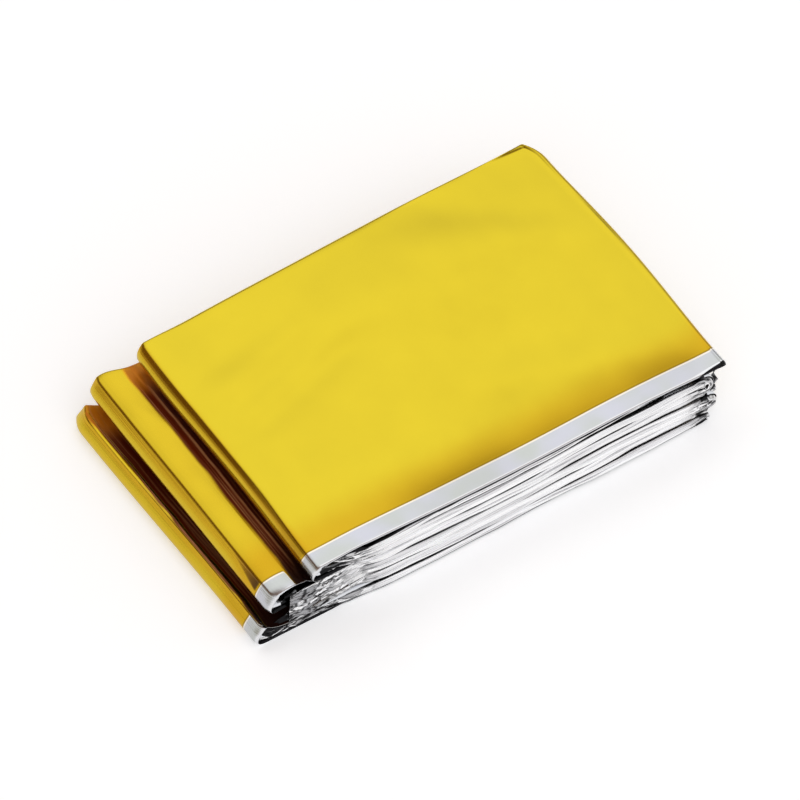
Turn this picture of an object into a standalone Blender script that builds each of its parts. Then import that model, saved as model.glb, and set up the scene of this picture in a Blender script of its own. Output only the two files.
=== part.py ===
"""Emergency foil blanket, folded flat: one strip of packed film, folded back and forth.

A sheet of metallised film is first folded lengthways into a strip one panel wide, many plies deep,
and that strip is then folded back and forth. The solid is the strip: six packed layers that lie a
little apart, three hollow fold noses on the left, each further out than the one above it, two tight
folds on the right, and an outer end that is turned under at the top right.

Sizes are in millimetres until MM makes them metres. X runs along the panel, Y across it to the back
edge and Z up. The origin is on the surface, under the middle of the footprint.
"""

from collections import namedtuple

import bmesh
import bpy
import numpy as np

MM = 0.001

# Driving dimensions
PANEL_LENGTH = 130.0      # between the two fold lines of a panel
FOOT_CENTRE = (-10.40, -0.63)   # middle of the footprint, measured from the middle of the panel
PACKET = 2.5              # thickness of a packed layer of plies
PITCH = 3.76               # from the middle of one layer to the middle of the next
LOWEST = PACKET / 2       # level of the bottom layer, which lies flat on the surface
WAVE = 0.32               # height of the soft waves in the top layer

# Steps of the grid
LAYER_STEPS = 12
NOSE_STEPS = 7
ROWS = 14

# One row for each layer, in the order in which the strip is folded, from its outer end.
# level: height of its middle. front and back: place of its edges at its left and right end.
Layer = namedtuple("Layer", "level front_left front_right back_left back_right")
LAYERS = [
    Layer(LOWEST + 4.58 * PITCH, -46.6, -47.6, 44.6, 45.4),     # turned under at the outer end
    Layer(LOWEST + 5 * PITCH, -45.9, -48.8, 44.9, 47.8),        # top panel
    Layer(LOWEST + 4 * PITCH, -45.4, -48.4, 43.2, 46.4),
    Layer(LOWEST + 3 * PITCH, -42.6, -48.9, 45.4, 46.2),
    Layer(LOWEST + 2 * PITCH, -43.6, -49.2, 45.0, 45.6),
    Layer(LOWEST + PITCH, -44.6, -48.8, 43.6, 46.4),
    Layer(LOWEST, -45.2, -49.4, 44.6, 45.2),
]

# One row for each fold, in the same order.
# side: -1 left, 1 right. before, after: height of the wall's middle where the strip comes in and
# goes out. bulge, heel: how far the nose's two handles reach out of it, at the crease and at the
# root below. shoulder: drop of the first handle, which sharpens the crease. tuck: how far the root
# lies inside the crease. wall: thickness round the nose. fade: how far from the fold its layers
# start to open towards it. swell: rise of the layer behind the crease, or its dip.
Fold = namedtuple("Fold", "side before after bulge heel shoulder tuck wall fade swell")
FOLDS = [
    Fold(+1, 18.5, 20.8, 1.6, 1.6, 0.0, 0.0, 1.1, 40.0, 0.0),
    Fold(-1, 21.7, 16.1, 2.8, 2.4, 1.6, 2.0, 1.5, 15.0, 0.0),
    Fold(+1, 16.0, 12.7, 3.0, 3.0, 0.0, 0.0, 1.8, 12.0, 0.0),
    Fold(-1, 13.6, 8.8, 3.0, 2.4, 1.5, 2.0, 1.5, 16.0, 0.9),
    Fold(+1, 8.6, 5.2, 3.0, 3.0, 0.0, 0.0, 1.8, 12.0, 0.0),
    Fold(-1, 6.65, 0.75, 0.8, 3.6, 2.2, 2.5, 1.5, 17.0, -1.9),
]

# The outermost line of each fold, as far as it lies outside the panel's end at five places across
# the panel, how much its front and back corners are rounded off, and how far its back end stands
# out behind the back edge of its layers, like an ear.
Line = namedtuple("Line", "front near middle far back cut_front cut_back ear")
LINES = [
    Line(-2.8, -1.6, -0.3, -0.3, 0.3, 0.5, 3.4, 0.0),
    Line(2.5, 1.9, 1.35, 1.25, 0.5, 0.5, 0.8, 0.0),
    Line(-6.4, -5.6, -4.6, -4.0, -4.4, 1.0, 2.0, 0.0),
    Line(13.2, 14.0, 14.1, 14.1, 13.8, 1.2, 1.0, 2.4),
    Line(-5.2, -4.8, -4.2, -3.8, -4.2, 1.0, 2.0, 0.0),
    Line(19.9, 19.8, 20.1, 20.4, 20.4, 1.0, 2.4, 2.8),
]
CORNER_SPREAD = 2.4       # a corner is rounded along this many times its depth
EAR_LENGTH = 9.0          # an ear dies out along its layers over this length

# Places along X of the strip's two free ends, which are cut square
OUTER_END = 43.0          # turned in under the top panel
INNER_END = 57.5          # at the bottom

GOLD = (0.75, 0.52, 0.03, 1.0)
ROUGHNESS = 0.2
METALLIC = 1.0


def smooth(value):
    """Rise from 0 to 1 between 0 and 1, level at both ends: 3 t squared less 2 t cubed."""
    value = np.clip(value, 0.0, 1.0)
    return value * value * (3.0 - 2.0 * value)


def fold_line(index, v):
    """Place along X of a fold's outermost line, at the places v across the panel, 0 front to 1 back.

    The curve is the polynomial through the row's first five values. Each corner is rounded off by a
    parabola.
    """
    line = LINES[index]
    curve = np.polyval(np.polyfit(np.linspace(0.0, 1.0, 5), line[:5], 4), v)
    width = LAYERS[1].back_right - LAYERS[1].front_right
    for cut, distance in ((line.cut_front, v * width), (line.cut_back, (1.0 - v) * width)):
        curve = curve - cut * np.clip(1.0 - distance / (CORNER_SPREAD * cut), 0.0, 1.0) ** 2
    return FOLDS[index].side * (PANEL_LENGTH / 2 + curve)


def bezier(start, first, second, end, t):
    """Cubic Bezier curve: the four values weighted by the Bernstein polynomials of t."""
    s = 1.0 - t
    return start * s ** 3 + 3 * first * s * s * t + 3 * second * s * t * t + end * t ** 3


def nose_profile(fold, t):
    """Round a nose, t from 0 to 1: how far inside its outermost line it is, and its height."""
    outward = bezier(0.0, fold.bulge, fold.heel, -fold.tuck, np.linspace(0.0, 1.0, 200)).max()
    inside = outward - bezier(0.0, fold.bulge, fold.heel, -fold.tuck, t)
    down = np.sign(fold.before - fold.after) * fold.shoulder
    return inside, bezier(fold.before, fold.before - down, fold.after, fold.after, t)


def wave(x, y):
    """Height of the soft waves of the top panel: three crossing ripples of unlike lengths."""
    return WAVE * (np.sin(x / 19.0 + y / 31.0 + 0.6)
                   + 0.6 * np.sin(x / 11.0 - y / 17.0 + 2.0)
                   - 0.5 * np.cos(x / 37.0 + y / 13.0))


def edge_y(layer, x, v):
    """Place along Y: v of the way from the layer's front edge to its back edge at this x."""
    share = np.clip(x / PANEL_LENGTH + 0.5, -0.2, 1.0)
    front = layer.front_left + (layer.front_right - layer.front_left) * share
    back = layer.back_left + (layer.back_right - layer.back_left) * share
    return front + (back - front) * v


def layer_points(index, f, v):
    """Points of one layer, f from 0 to 1 along the strip and v across it, with its thickness.

    A straight run between the folds at its two ends. Near each fold it leaves its own level for the
    fold's, with the fold's swell on the way, and thins from the packet to the fold's wall.
    """
    layer = LAYERS[index]
    level = np.full(np.broadcast(f, v).shape, layer.level)
    thick = np.full_like(level, PACKET)
    roots = []
    for end, number in ((0, index - 1), (1, index)):
        if 0 <= number < len(FOLDS):
            fold = FOLDS[number]
            inside = nose_profile(fold, 1.0 - end)[0]
            roots.append(fold_line(number, v) - fold.side * inside)
        else:
            roots.append(OUTER_END if index == 0 else INNER_END)
    x = roots[0] + (roots[1] - roots[0]) * f
    y = edge_y(layer, x, v)
    for end, number in ((0, index - 1), (1, index)):
        if 0 <= number < len(FOLDS):
            fold = FOLDS[number]
            away = np.clip(np.abs(x - roots[end]) / fold.fade, 0.0, 1.0)
            near = smooth(1.0 - away)
            thick = thick + (fold.wall - thick) * near
            level = level + ((fold.before if end else fold.after) - level) * near
            level = level + end * fold.swell * 27 / 4 * away * (1.0 - away) ** 2
            y = y + LINES[number].ear * v ** 4 * smooth(1.0 - np.abs(x - roots[end]) / EAR_LENGTH)
    if index == 0:
        thick = np.full_like(level, FOLDS[0].wall)
    if index == len(LAYERS) - 1:
        level = thick / 2
    return x, y, level, thick


def nose_points(index, t, v):
    """Points of one nose, t from 0 to 1 round it and v across the panel, with its thickness."""
    fold = FOLDS[index]
    inside, z = nose_profile(fold, t)
    x = fold_line(index, v) - fold.side * inside
    before = edge_y(LAYERS[index], x, v)
    after = edge_y(LAYERS[index + 1], x, v)
    y = before + (after - before) * smooth(t) + LINES[index].ear * v ** 4
    return x, y, z + 0.0 * x, fold.wall + 0.0 * x


def strip_grid(v):
    """All points of the strip, in folding order: arrays of steps along it by rows across it."""
    v = v[None, :]
    pieces = []
    for index in range(len(LAYERS)):
        steps = LAYER_STEPS // 2 if index == 0 else LAYER_STEPS
        f = (0.5 - 0.5 * np.cos(np.pi * np.arange(steps + 1) / steps))[:, None]
        pieces.append(layer_points(index, f, v))
        if index < len(FOLDS):
            t = (np.arange(1, NOSE_STEPS) / NOSE_STEPS)[:, None]
            pieces.append(nose_points(index, t, v))
    x, y, z, thick = (np.concatenate([piece[i] for piece in pieces]) for i in range(4))
    top = LAYERS[1].level
    z = z + wave(x, y) * (z - thick / 2) / (top - LOWEST)
    return x - FOOT_CENTRE[0], y - FOOT_CENTRE[1], z, thick


def foil_material():
    """Gold side of the metallised film: a mirror-like metal, a little dulled by its fine creases."""
    material = bpy.data.materials.new("gold_film")
    material.use_nodes = True
    shader = material.node_tree.nodes["Principled BSDF"]
    shader.inputs["Base Color"].default_value = GOLD
    shader.inputs["Roughness"].default_value = ROUGHNESS
    shader.inputs["Metallic"].default_value = METALLIC
    return material


def foil_blanket(collection):
    """The folded strip: a grid laid along the fold path, made solid by its own thickness."""
    v = 0.5 - 0.5 * np.cos(np.pi * np.arange(ROWS + 1) / ROWS)
    x, y, z, thick = strip_grid(v)
    steps = x.shape[0] - 1

    grid = bmesh.new()
    bmesh.ops.create_grid(grid, x_segments=steps, y_segments=ROWS, size=0.5)
    mesh = bpy.data.meshes.new("foil_blanket")
    grid.to_mesh(mesh)
    grid.free()

    flat = np.empty(len(mesh.vertices) * 3)
    mesh.vertices.foreach_get("co", flat)
    flat = flat.reshape(-1, 3)
    step = np.rint((flat[:, 0] + 0.5) * steps).astype(int)
    row = np.rint((flat[:, 1] + 0.5) * ROWS).astype(int)
    points = np.stack([x[step, row], y[step, row], z[step, row]], axis=1) * MM
    mesh.vertices.foreach_set("co", points.ravel())
    mesh.update()
    mesh.materials.append(foil_material())

    blanket = bpy.data.objects.new("foil_blanket", mesh)
    collection.objects.link(blanket)
    group = blanket.vertex_groups.new(name="thickness")
    for vertex, share in enumerate(thick[step, row] / PACKET):
        group.add([vertex], float(share), "REPLACE")

    wall = blanket.modifiers.new("film", "SOLIDIFY")
    wall.thickness = PACKET * MM
    wall.offset = 0.0
    wall.vertex_group = group.name
    mesh.shade_smooth()
    mesh.set_sharp_from_angle(angle=np.radians(50.0))
    return blanket


def main():
    for old in list(bpy.data.objects):
        bpy.data.objects.remove(old, do_unlink=True)
    collection = bpy.data.collections.new("Emergency foil blanket")
    bpy.context.scene.collection.children.link(collection)
    foil_blanket(collection)


main()
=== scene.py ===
"""Emergency foil blanket, folded flat: the looks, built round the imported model.

A sheet of film that is gold on one side and silver on the other is folded lengthways into a strip
one panel wide and many plies deep, and the strip is then folded back and forth. The scene makes the
film itself: the gold wrap that closes each layer, the silver plies inside it, and the loose corners.
"""

# %% [markdown]
# # 1. The frame and the camera
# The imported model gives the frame: its one body and its one solid. Every piece below follows the
# same fold path as that solid. The camera comes first, because each later step is judged through it.
# A long lens from 1.4 m keeps the edges nearly parallel.

# %% Load the frame
from collections import namedtuple
from math import comb

import bpy
import numpy as np
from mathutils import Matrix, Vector


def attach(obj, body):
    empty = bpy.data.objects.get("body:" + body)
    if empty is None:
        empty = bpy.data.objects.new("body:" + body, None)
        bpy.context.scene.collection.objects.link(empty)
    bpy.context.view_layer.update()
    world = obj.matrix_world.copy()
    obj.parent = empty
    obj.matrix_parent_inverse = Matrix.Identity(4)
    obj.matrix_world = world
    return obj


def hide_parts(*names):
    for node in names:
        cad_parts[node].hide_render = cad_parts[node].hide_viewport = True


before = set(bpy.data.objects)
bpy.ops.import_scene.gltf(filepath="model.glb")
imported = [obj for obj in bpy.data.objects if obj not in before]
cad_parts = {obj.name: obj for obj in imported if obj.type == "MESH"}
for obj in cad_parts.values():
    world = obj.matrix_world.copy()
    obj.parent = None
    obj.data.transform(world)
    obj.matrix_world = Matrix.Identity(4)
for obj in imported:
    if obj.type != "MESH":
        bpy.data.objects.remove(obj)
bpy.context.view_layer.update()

MM = 0.001

# %% Camera
CAMERA_AZIMUTH = np.radians(-34.1)
CAMERA_ELEVATION = np.radians(51.0)
CAMERA_DISTANCE = 1.4
CAMERA_TARGET = Vector((-0.0017, -0.00209, 0.010))
CAMERA_LENS = 234.7  # mm, on a sensor 36 mm wide

towards_camera = Vector((np.sin(CAMERA_AZIMUTH) * np.cos(CAMERA_ELEVATION),
                         -np.cos(CAMERA_AZIMUTH) * np.cos(CAMERA_ELEVATION),
                         np.sin(CAMERA_ELEVATION)))
camera = bpy.data.objects.new("camera", bpy.data.cameras.new("camera"))
camera.data.lens = CAMERA_LENS
camera.data.sensor_width = 36.0
camera.data.dof.use_dof = False
camera.data.clip_start = 0.05
camera.location = CAMERA_TARGET + towards_camera * CAMERA_DISTANCE
camera.rotation_mode = "QUATERNION"
camera.rotation_quaternion = (-towards_camera).to_track_quat("-Z", "Y")
bpy.context.scene.collection.objects.link(camera)
bpy.context.scene.camera = camera
print("camera at", [round(c, 3) for c in camera.location])

# %% [markdown]
# # 2. The fold path
# The strip goes back and forth six times, from an end that is turned under at the top right to an
# end at the bottom. A curve with a bevel can't change its width, its thickness or its edges on the
# way, so the path is worked out as a surface: the middle of the strip, at every step along it and
# every place across it. The sizes are those of the solid, but the noses that show are rounder, and
# the middle one stands up to 1.4 mm further out.

# %% Sizes of the strip, in millimetres
PANEL_LENGTH = 130.0  # between the two fold lines of a panel
FOOT_CENTRE = (-10.40, -0.63)  # middle of the footprint, from the middle of the panel
PACKET = 2.5  # thickness of a packed layer
PITCH = 3.76  # from one layer to the next
LOWEST = PACKET / 2  # level of the middle of the bottom layer

# A row for each layer: the level of its middle, and the places of its edges at its two ends.
Layer = namedtuple("Layer", "level front_left front_right back_left back_right")
LAYERS = [
    Layer(LOWEST + 4.58 * PITCH, -46.6, -47.6, 44.6, 45.4),     # turned under at the outer end
    Layer(LOWEST + 5 * PITCH, -45.9, -48.8, 44.9, 47.8),        # top panel
    Layer(LOWEST + 4 * PITCH, -45.4, -48.4, 43.2, 46.4),
    Layer(LOWEST + 3 * PITCH, -42.6, -48.9, 45.4, 46.2),
    Layer(LOWEST + 2 * PITCH, -43.6, -49.2, 45.0, 45.6),
    Layer(LOWEST + PITCH, -44.6, -48.8, 43.6, 46.4),
    Layer(LOWEST, -45.2, -49.4, 44.6, 45.2),
]
END, TOP, VALLEY, TROUGH, FOOT = 0, 1, 3, 5, 6  # layers that are called by name below
WIDTH = LAYERS[TOP].back_right - LAYERS[TOP].front_right
OUTER_END = 43.0  # places along X of the strip's two free ends
INNER_END = 57.5
EDGE_RUN = 0.2  # share of a panel over which its edges run on past its left end
print(len(LAYERS), "layers,", round(WIDTH, 1), "mm across")

# %% Folds
# side: -1 left, 1 right. before, after: heights of the wall's middle at its two roots. reach,
# heights: the nose's handles between them, outwards and up. front_share: how much of its inward
# turns is left at the front edge. tuck: how far the lower root lies inside. wall: thickness. fade:
# how far its layers bend towards it. swell: rise behind the crease.
Fold = namedtuple("Fold", "side before after reach heights front_share tuck wall fade swell")
FOLDS = [
    Fold(+1, 18.5, 20.8, (1.6, 1.6), (18.5, 20.8), 1.0, 0.0, 1.1, 40.0, 0.0),
    Fold(-1, 21.7, 16.1, (1.3, 2.8, 3.1, 1.6), (20.75, 19.5, 17.6, 16.1), 0.62, 2.0, 1.5, 15.0, 0.0),
    Fold(+1, 16.0, 12.7, (3.0, 3.0), (16.0, 12.7), 1.0, 0.0, 1.8, 12.0, 0.0),
    Fold(-1, 13.6, 8.8, (0.9, 2.0, 3.2, 2.4), (12.3, 10.8, 9.3, 8.4), 0.9, 2.0, 1.5, 16.0, 0.9),
    Fold(+1, 8.6, 5.2, (3.0, 3.0), (8.6, 5.2), 1.0, 0.0, 1.8, 12.0, 0.0),
    Fold(-1, 6.65, 0.75, (0.5, 1.2, 3.0, 3.6), (5.6, 4.4, 2.9, 0.75), 1.0, 2.5, 1.5, 17.0, -1.9),
]
# A fold's outermost line, outside the panel's end, at five places from front to back, the depth of
# its two rounded corners, and how far its back corner sticks out as an ear.
Line = namedtuple("Line", "front near middle far back cut_front cut_back ear")
LINES = [
    Line(-2.8, -1.6, -0.3, -0.3, 0.3, 0.5, 3.4, 0.0),
    Line(2.5, 1.9, 1.35, 1.25, 0.5, 0.5, 0.8, 0.0),
    Line(-6.4, -5.6, -4.6, -4.0, -4.4, 1.0, 2.0, 0.0),
    Line(14.6, 14.7, 14.5, 14.3, 13.9, 1.2, 1.0, 2.4),
    Line(-5.2, -4.8, -4.2, -3.8, -4.2, 1.0, 2.0, 0.0),
    Line(19.9, 19.8, 20.1, 20.4, 20.4, 1.0, 2.4, 2.8),
]
LINE_PLACES = np.linspace(0.0, 1.0, 5)
CORNER_SPREAD = 2.4  # a corner is rounded along this many times its depth
EAR_LENGTH = 9.0  # an ear dies out along its layers over this length
NOSE_EVENS = 1.2  # a nose has its full turns again at 1 / 1.2 of the way to the back
print("fold lines at", [round(f.side * (PANEL_LENGTH / 2 + n.middle), 1) for f, n in zip(FOLDS, LINES)])

# %% Shape of a fold
def smooth(value):
    """Rise from 0 to 1 between 0 and 1, level at both ends: 3 t squared less 2 t cubed."""
    value = np.clip(value, 0.0, 1.0)
    return value * value * (3.0 - 2.0 * value)


def ramp(x, place, length):
    """Smooth rise with x, from 0 at the place to 1 a length further on, or back if it is negative."""
    return smooth((x - place) / length)


def fold_line(index, v):
    """Place along X of a fold's outermost line: the polynomial through the row's five values, less
    a parabola at each corner."""
    line = LINES[index]
    curve = np.polyval(np.polyfit(LINE_PLACES, line[:5], 4), v)
    for cut, distance in ((line.cut_front, v * WIDTH), (line.cut_back, (1.0 - v) * WIDTH)):
        curve = curve - cut * np.clip(1.0 - distance / (CORNER_SPREAD * cut), 0.0, 1.0) ** 2
    return FOLDS[index].side * (PANEL_LENGTH / 2 + curve)


def bezier(handles, t):
    """Bezier curve: its handles weighted by the Bernstein polynomials of t."""
    degree = len(handles) - 1
    return sum(comb(degree, k) * (1.0 - t) ** (degree - k) * t ** k * value
               for k, value in enumerate(handles))


def nose_profile(index, t, v):
    """Round a nose, t from 0 to 1: how far inside its outermost line it is, and its height."""
    fold = FOLDS[index]
    reach = (0.0, *fold.reach, -fold.tuck)
    heights = (fold.before, *fold.heights, fold.after)
    outward = bezier(reach, np.linspace(0.0, 1.0, 200)).max()
    share = fold.front_share + (1.0 - fold.front_share) * smooth(v * NOSE_EVENS)
    return (outward - bezier(reach, t)) * share, bezier(heights, t)


# %% Soft waves of the top panel
WAVE = 0.32  # their height, mm
RIPPLES = [(1.0, 19.0, 31.0, 0.6), (0.6, 11.0, -17.0, 2.0), (0.5, 37.0, 13.0, -np.pi / 2)]


def wave(x, y):
    """Height of the waves: a sum of sines, each with its share, lengths along X and Y, and phase."""
    return WAVE * sum(share * np.sin(x / a + y / b + phase) for share, a, b, phase in RIPPLES)


# %% Runs and noses
def edge_y(layer, x, v):
    """Place along Y: v of the way from the layer's front edge to its back edge at this x."""
    share = np.clip(x / PANEL_LENGTH + 0.5, -EDGE_RUN, 1.0)
    front = layer.front_left + (layer.front_right - layer.front_left) * share
    back = layer.back_left + (layer.back_right - layer.back_left) * share
    return front + (back - front) * v


def layer_points(index, f, v):
    """Middle of one layer: a straight run between its two folds, which bends towards each fold's
    height, and thins towards its wall, over the fold's fade. Behind a crease it swells by a times
    (1 - a) squared, which 27 / 4 scales to a peak of 1."""
    layer = LAYERS[index]
    level = np.full(np.broadcast(f, v).shape, layer.level)
    thick = np.full_like(level, PACKET)
    roots = []
    for end, number in ((0, index - 1), (1, index)):
        if 0 <= number < len(FOLDS):
            inside = nose_profile(number, 1.0 - end, v)[0]
            roots.append(fold_line(number, v) - FOLDS[number].side * inside)
        else:
            roots.append(OUTER_END if index == END else INNER_END)
    x = roots[0] + (roots[1] - roots[0]) * f
    y = edge_y(layer, x, v)
    for end, number in ((0, index - 1), (1, index)):
        if 0 <= number < len(FOLDS):
            fold = FOLDS[number]
            away = np.clip(np.abs(x - roots[end]) / fold.fade, 0.0, 1.0)
            near = smooth(1.0 - away)
            thick = thick + (fold.wall - thick) * near
            level = level + ((fold.before if end else fold.after) - level) * near
            level = level + end * fold.swell * 27 / 4 * away * (1.0 - away) ** 2
            y = y + LINES[number].ear * v ** 4 * smooth(1.0 - np.abs(x - roots[end]) / EAR_LENGTH)
    if index == END:
        thick = np.full_like(level, FOLDS[0].wall)
    if index == FOOT:
        level = thick / 2
    return x, y, level, thick


def nose_points(index, t, v):
    """Middle of one nose: its profile, carried along the fold's outermost line."""
    fold = FOLDS[index]
    inside, z = nose_profile(index, t, v)
    x = fold_line(index, v) - fold.side * inside
    before = edge_y(LAYERS[index], x, v)
    after = edge_y(LAYERS[index + 1], x, v)
    y = before + (after - before) * smooth(t) + LINES[index].ear * v ** 4
    return x, y, z + 0.0 * x, fold.wall + 0.0 * x


# %% Steps along the strip
LAYER_ROWS = [12, 110, 30, 96, 40, 120, 30]
NOSE_ROWS = [24, 34, 18, 34, 18, 34]
EVEN_STEPS = 0.35  # share of equal steps in a run, the rest crowd towards its ends
CROWDED_STEPS = 0.6  # share of steps that crowd towards a left end that shows
Section = namedtuple("Section", "number nose step rows")

# The strip's runs and noses in folding order, each with its steps: closer near a run's ends by a
# cosine mixed with equal steps, and by a cube towards an end that shows.
SECTIONS, ROWS = [], 0


def add_section(number, nose, step):
    """Put a run or a nose behind those there are, and count its rows."""
    SECTIONS.append(Section(number, nose, step, slice(ROWS, ROWS + len(step))))
    return ROWS + len(step)


for number in range(len(LAYERS)):
    u = np.linspace(0.0, 1.0, LAYER_ROWS[number] + 1)
    step = EVEN_STEPS * u + (1.0 - EVEN_STEPS) * (0.5 - 0.5 * np.cos(np.pi * u))
    if number in (VALLEY, TROUGH):
        step = (1.0 - CROWDED_STEPS) * step + CROWDED_STEPS * (1.0 - (1.0 - u) ** 3)
    ROWS = add_section(number, False, step)
    if number < len(FOLDS):
        ROWS = add_section(number, True, np.linspace(0.0, 1.0, NOSE_ROWS[number] + 1)[1:-1])
RUNS = [s for s in SECTIONS if not s.nose]
print(len(RUNS), "runs and", len(SECTIONS) - len(RUNS), "noses in", ROWS, "rows")

# %% Middle of the strip
ACROSS_STEP = 0.003  # share of the width, for the slope across


def middle_points(v):
    """Middle surface of the strip in the part's frame, for a table v of places across it, rows by
    columns, and its thickness."""
    parts = [(nose_points if s.nose else layer_points)(s.number, s.step[:, None], v[s.rows])
             for s in SECTIONS]
    x, y, z, thick = (np.concatenate([part[i] for part in parts]) for i in range(4))
    z = z + wave(x, y) * (z - thick / 2) / (LAYERS[TOP].level - LOWEST)
    return np.stack([x - FOOT_CENTRE[0], y - FOOT_CENTRE[1], z], axis=2), thick


def strip(v):
    """The middle surface, its normals on the outer side, and half its thickness. A normal is the
    cross product of a small step across the strip and the step to the next row."""
    points, thick = middle_points(v)
    normals = np.cross(middle_points(v + ACROSS_STEP)[0] - points, np.gradient(points, axis=0))
    normals /= np.linalg.norm(normals, axis=2, keepdims=True)
    return points, normals, thick / 2


def panel_place(points):
    """Places along X and Y of points of the strip, from the middle of the panel."""
    return points[..., 0] + FOOT_CENTRE[0], points[..., 1] + FOOT_CENTRE[1]


middle = middle_points(np.linspace(0.0, 1.0, 3)[None, :] + np.zeros((ROWS, 1)))[0][:, 1]
steps = np.linalg.norm(np.diff(middle, axis=0), axis=1)
along = np.concatenate([[0.0], np.cumsum(steps)])[:, None]
strip_length = float(along[-1, 0])
print("the strip is", round(strip_length), "mm long")

# %% Values along the strip
NEAR_LEFT = 20.0  # mm along the panel to the second of its three values


def table_along(left, near, right):
    """A value along the strip from three per layer: round the left noses, NEAR_LEFT along the
    panel, and at the right end, with smooth changes between them."""
    left, near, right = (np.array(values, float) for values in (left, near, right))
    values = np.empty(ROWS)
    for s in SECTIONS:
        n = s.number
        if s.nose:
            side = right if FOLDS[n].side > 0 else left
            values[s.rows] = side[n] + (side[n + 1] - side[n]) * s.step
        else:
            x = middle[s.rows, 0] + FOOT_CENTRE[0] + PANEL_LENGTH / 2
            past = smooth((x - NEAR_LEFT) / (PANEL_LENGTH - NEAR_LEFT))
            values[s.rows] = (left[n] + (near[n] - left[n]) * smooth(x / NEAR_LEFT)
                              + (right[n] - near[n]) * past)
    return values[:, None]


# %% [markdown]
# # 3. Making a mesh from a grid
# Each sheet is a grid of points. One helper turns such a grid into a mesh, with a map of the film in
# metres, along and across, and any other value that a finish has to know.

# %% Grid to mesh
def sheet_mesh(name, points, film_map, values, flip=False):
    """A mesh from a grid of points in millimetres: each face joins four neighbours of the grid."""
    rows, columns = points.shape[:2]
    corner = np.arange(rows * columns).reshape(rows, columns)[:-1, :-1].ravel()
    faces = np.stack([corner, corner + 1, corner + columns + 1, corner + columns], axis=1)
    if flip:
        faces = faces[:, ::-1]
    mesh = bpy.data.meshes.new(name)
    mesh.vertices.add(rows * columns)
    mesh.vertices.foreach_set("co", (points.reshape(-1, 3) * MM).ravel())
    mesh.loops.add(faces.size)
    mesh.loops.foreach_set("vertex_index", faces.ravel())
    mesh.polygons.add(len(faces))
    mesh.polygons.foreach_set("loop_start", np.arange(0, faces.size, 4))
    layer = mesh.uv_layers.new(name="film")
    layer.data.foreach_set("uv", (film_map.reshape(-1, 2)[faces.ravel()] * MM).ravel())
    for key, value in values.items():
        attribute = mesh.attributes.new(key, "FLOAT", "POINT")
        value = np.broadcast_to(value, (rows, columns)).ravel().astype(np.float32)
        attribute.data.foreach_set("value", value)
    mesh.update(calc_edges=True)
    mesh.validate()
    mesh.shade_smooth()
    piece = bpy.data.objects.new(name, mesh)
    bpy.context.scene.collection.objects.link(piece)
    return piece


def flat_area(piece):
    """Area of a piece's faces, in square metres."""
    area = np.empty(len(piece.data.polygons))
    piece.data.polygons.foreach_get("area", area)
    return float(area.sum())


def film_places(points):
    """Map of a sheet along the strip: distances along it, and across it on its middle row. Also
    that row's whole length, the sheet's girth."""
    girth = np.concatenate([[0.0], np.cumsum(np.linalg.norm(np.diff(points[ROWS // 2], axis=0), axis=1))])
    return np.stack(np.broadcast_arrays(along, girth[None, :]), axis=2), float(girth[-1])


# %% Wandering lines and crushed film
def wander(place, seed, length):
    """Slow wandering between about -1 and 1: five sines of seeded phases, each 0.62 as high as the
    last and shorter by the golden ratio."""
    phases = np.random.default_rng(seed).uniform(0.0, 2 * np.pi, 5)
    return sum(0.62 ** k * np.sin(2 * np.pi * place / length * 1.618 ** k + phase)
               for k, phase in enumerate(phases)) / 1.6


def crumple(a, b, seed, size):
    """Sharp little facets between about -1 and 1: seven triangle waves, absolute values of the
    arcsines of sines, in seeded directions and 0.5 to 1.6 times the size long."""
    random = np.random.default_rng(seed)
    total = 0.0
    for _ in range(7):
        angle = random.uniform(0, np.pi)
        phase = random.uniform(0, 2 * np.pi)
        scale = size * random.uniform(0.5, 1.6)
        turned = (a * np.cos(angle) + b * np.sin(angle)) / scale * np.pi + phase
        total = total + 0.5 - np.abs(np.arcsin(np.sin(turned))) * 2 / np.pi
    return total / 2.2


# %% [markdown]
# # 4. Shader helper
# Node trees are written here as sums. A small class wraps a socket, so that an expression such as
# `1 - mask * 0.5` adds the Math nodes it needs. Colours are mixed by a node of their own, because a
# Math node would turn them grey.

# %% Sums on sockets
class Number:
    """One number that changes over a surface: the socket that gives it, with +, - and *."""

    def __init__(self, book, socket):
        self.book, self.socket = book, socket

    def _math(self, operation, first, second):
        return self.book.add("ShaderNodeMath", {"operation": operation}, {0: first, 1: second})

    def __add__(self, other): return self._math("ADD", self, other)
    def __radd__(self, other): return self._math("ADD", other, self)
    def __sub__(self, other): return self._math("SUBTRACT", self, other)
    def __rsub__(self, other): return self._math("SUBTRACT", other, self)
    def __mul__(self, other): return self._math("MULTIPLY", self, other)
    def __rmul__(self, other): return self._math("MULTIPLY", other, self)


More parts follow.
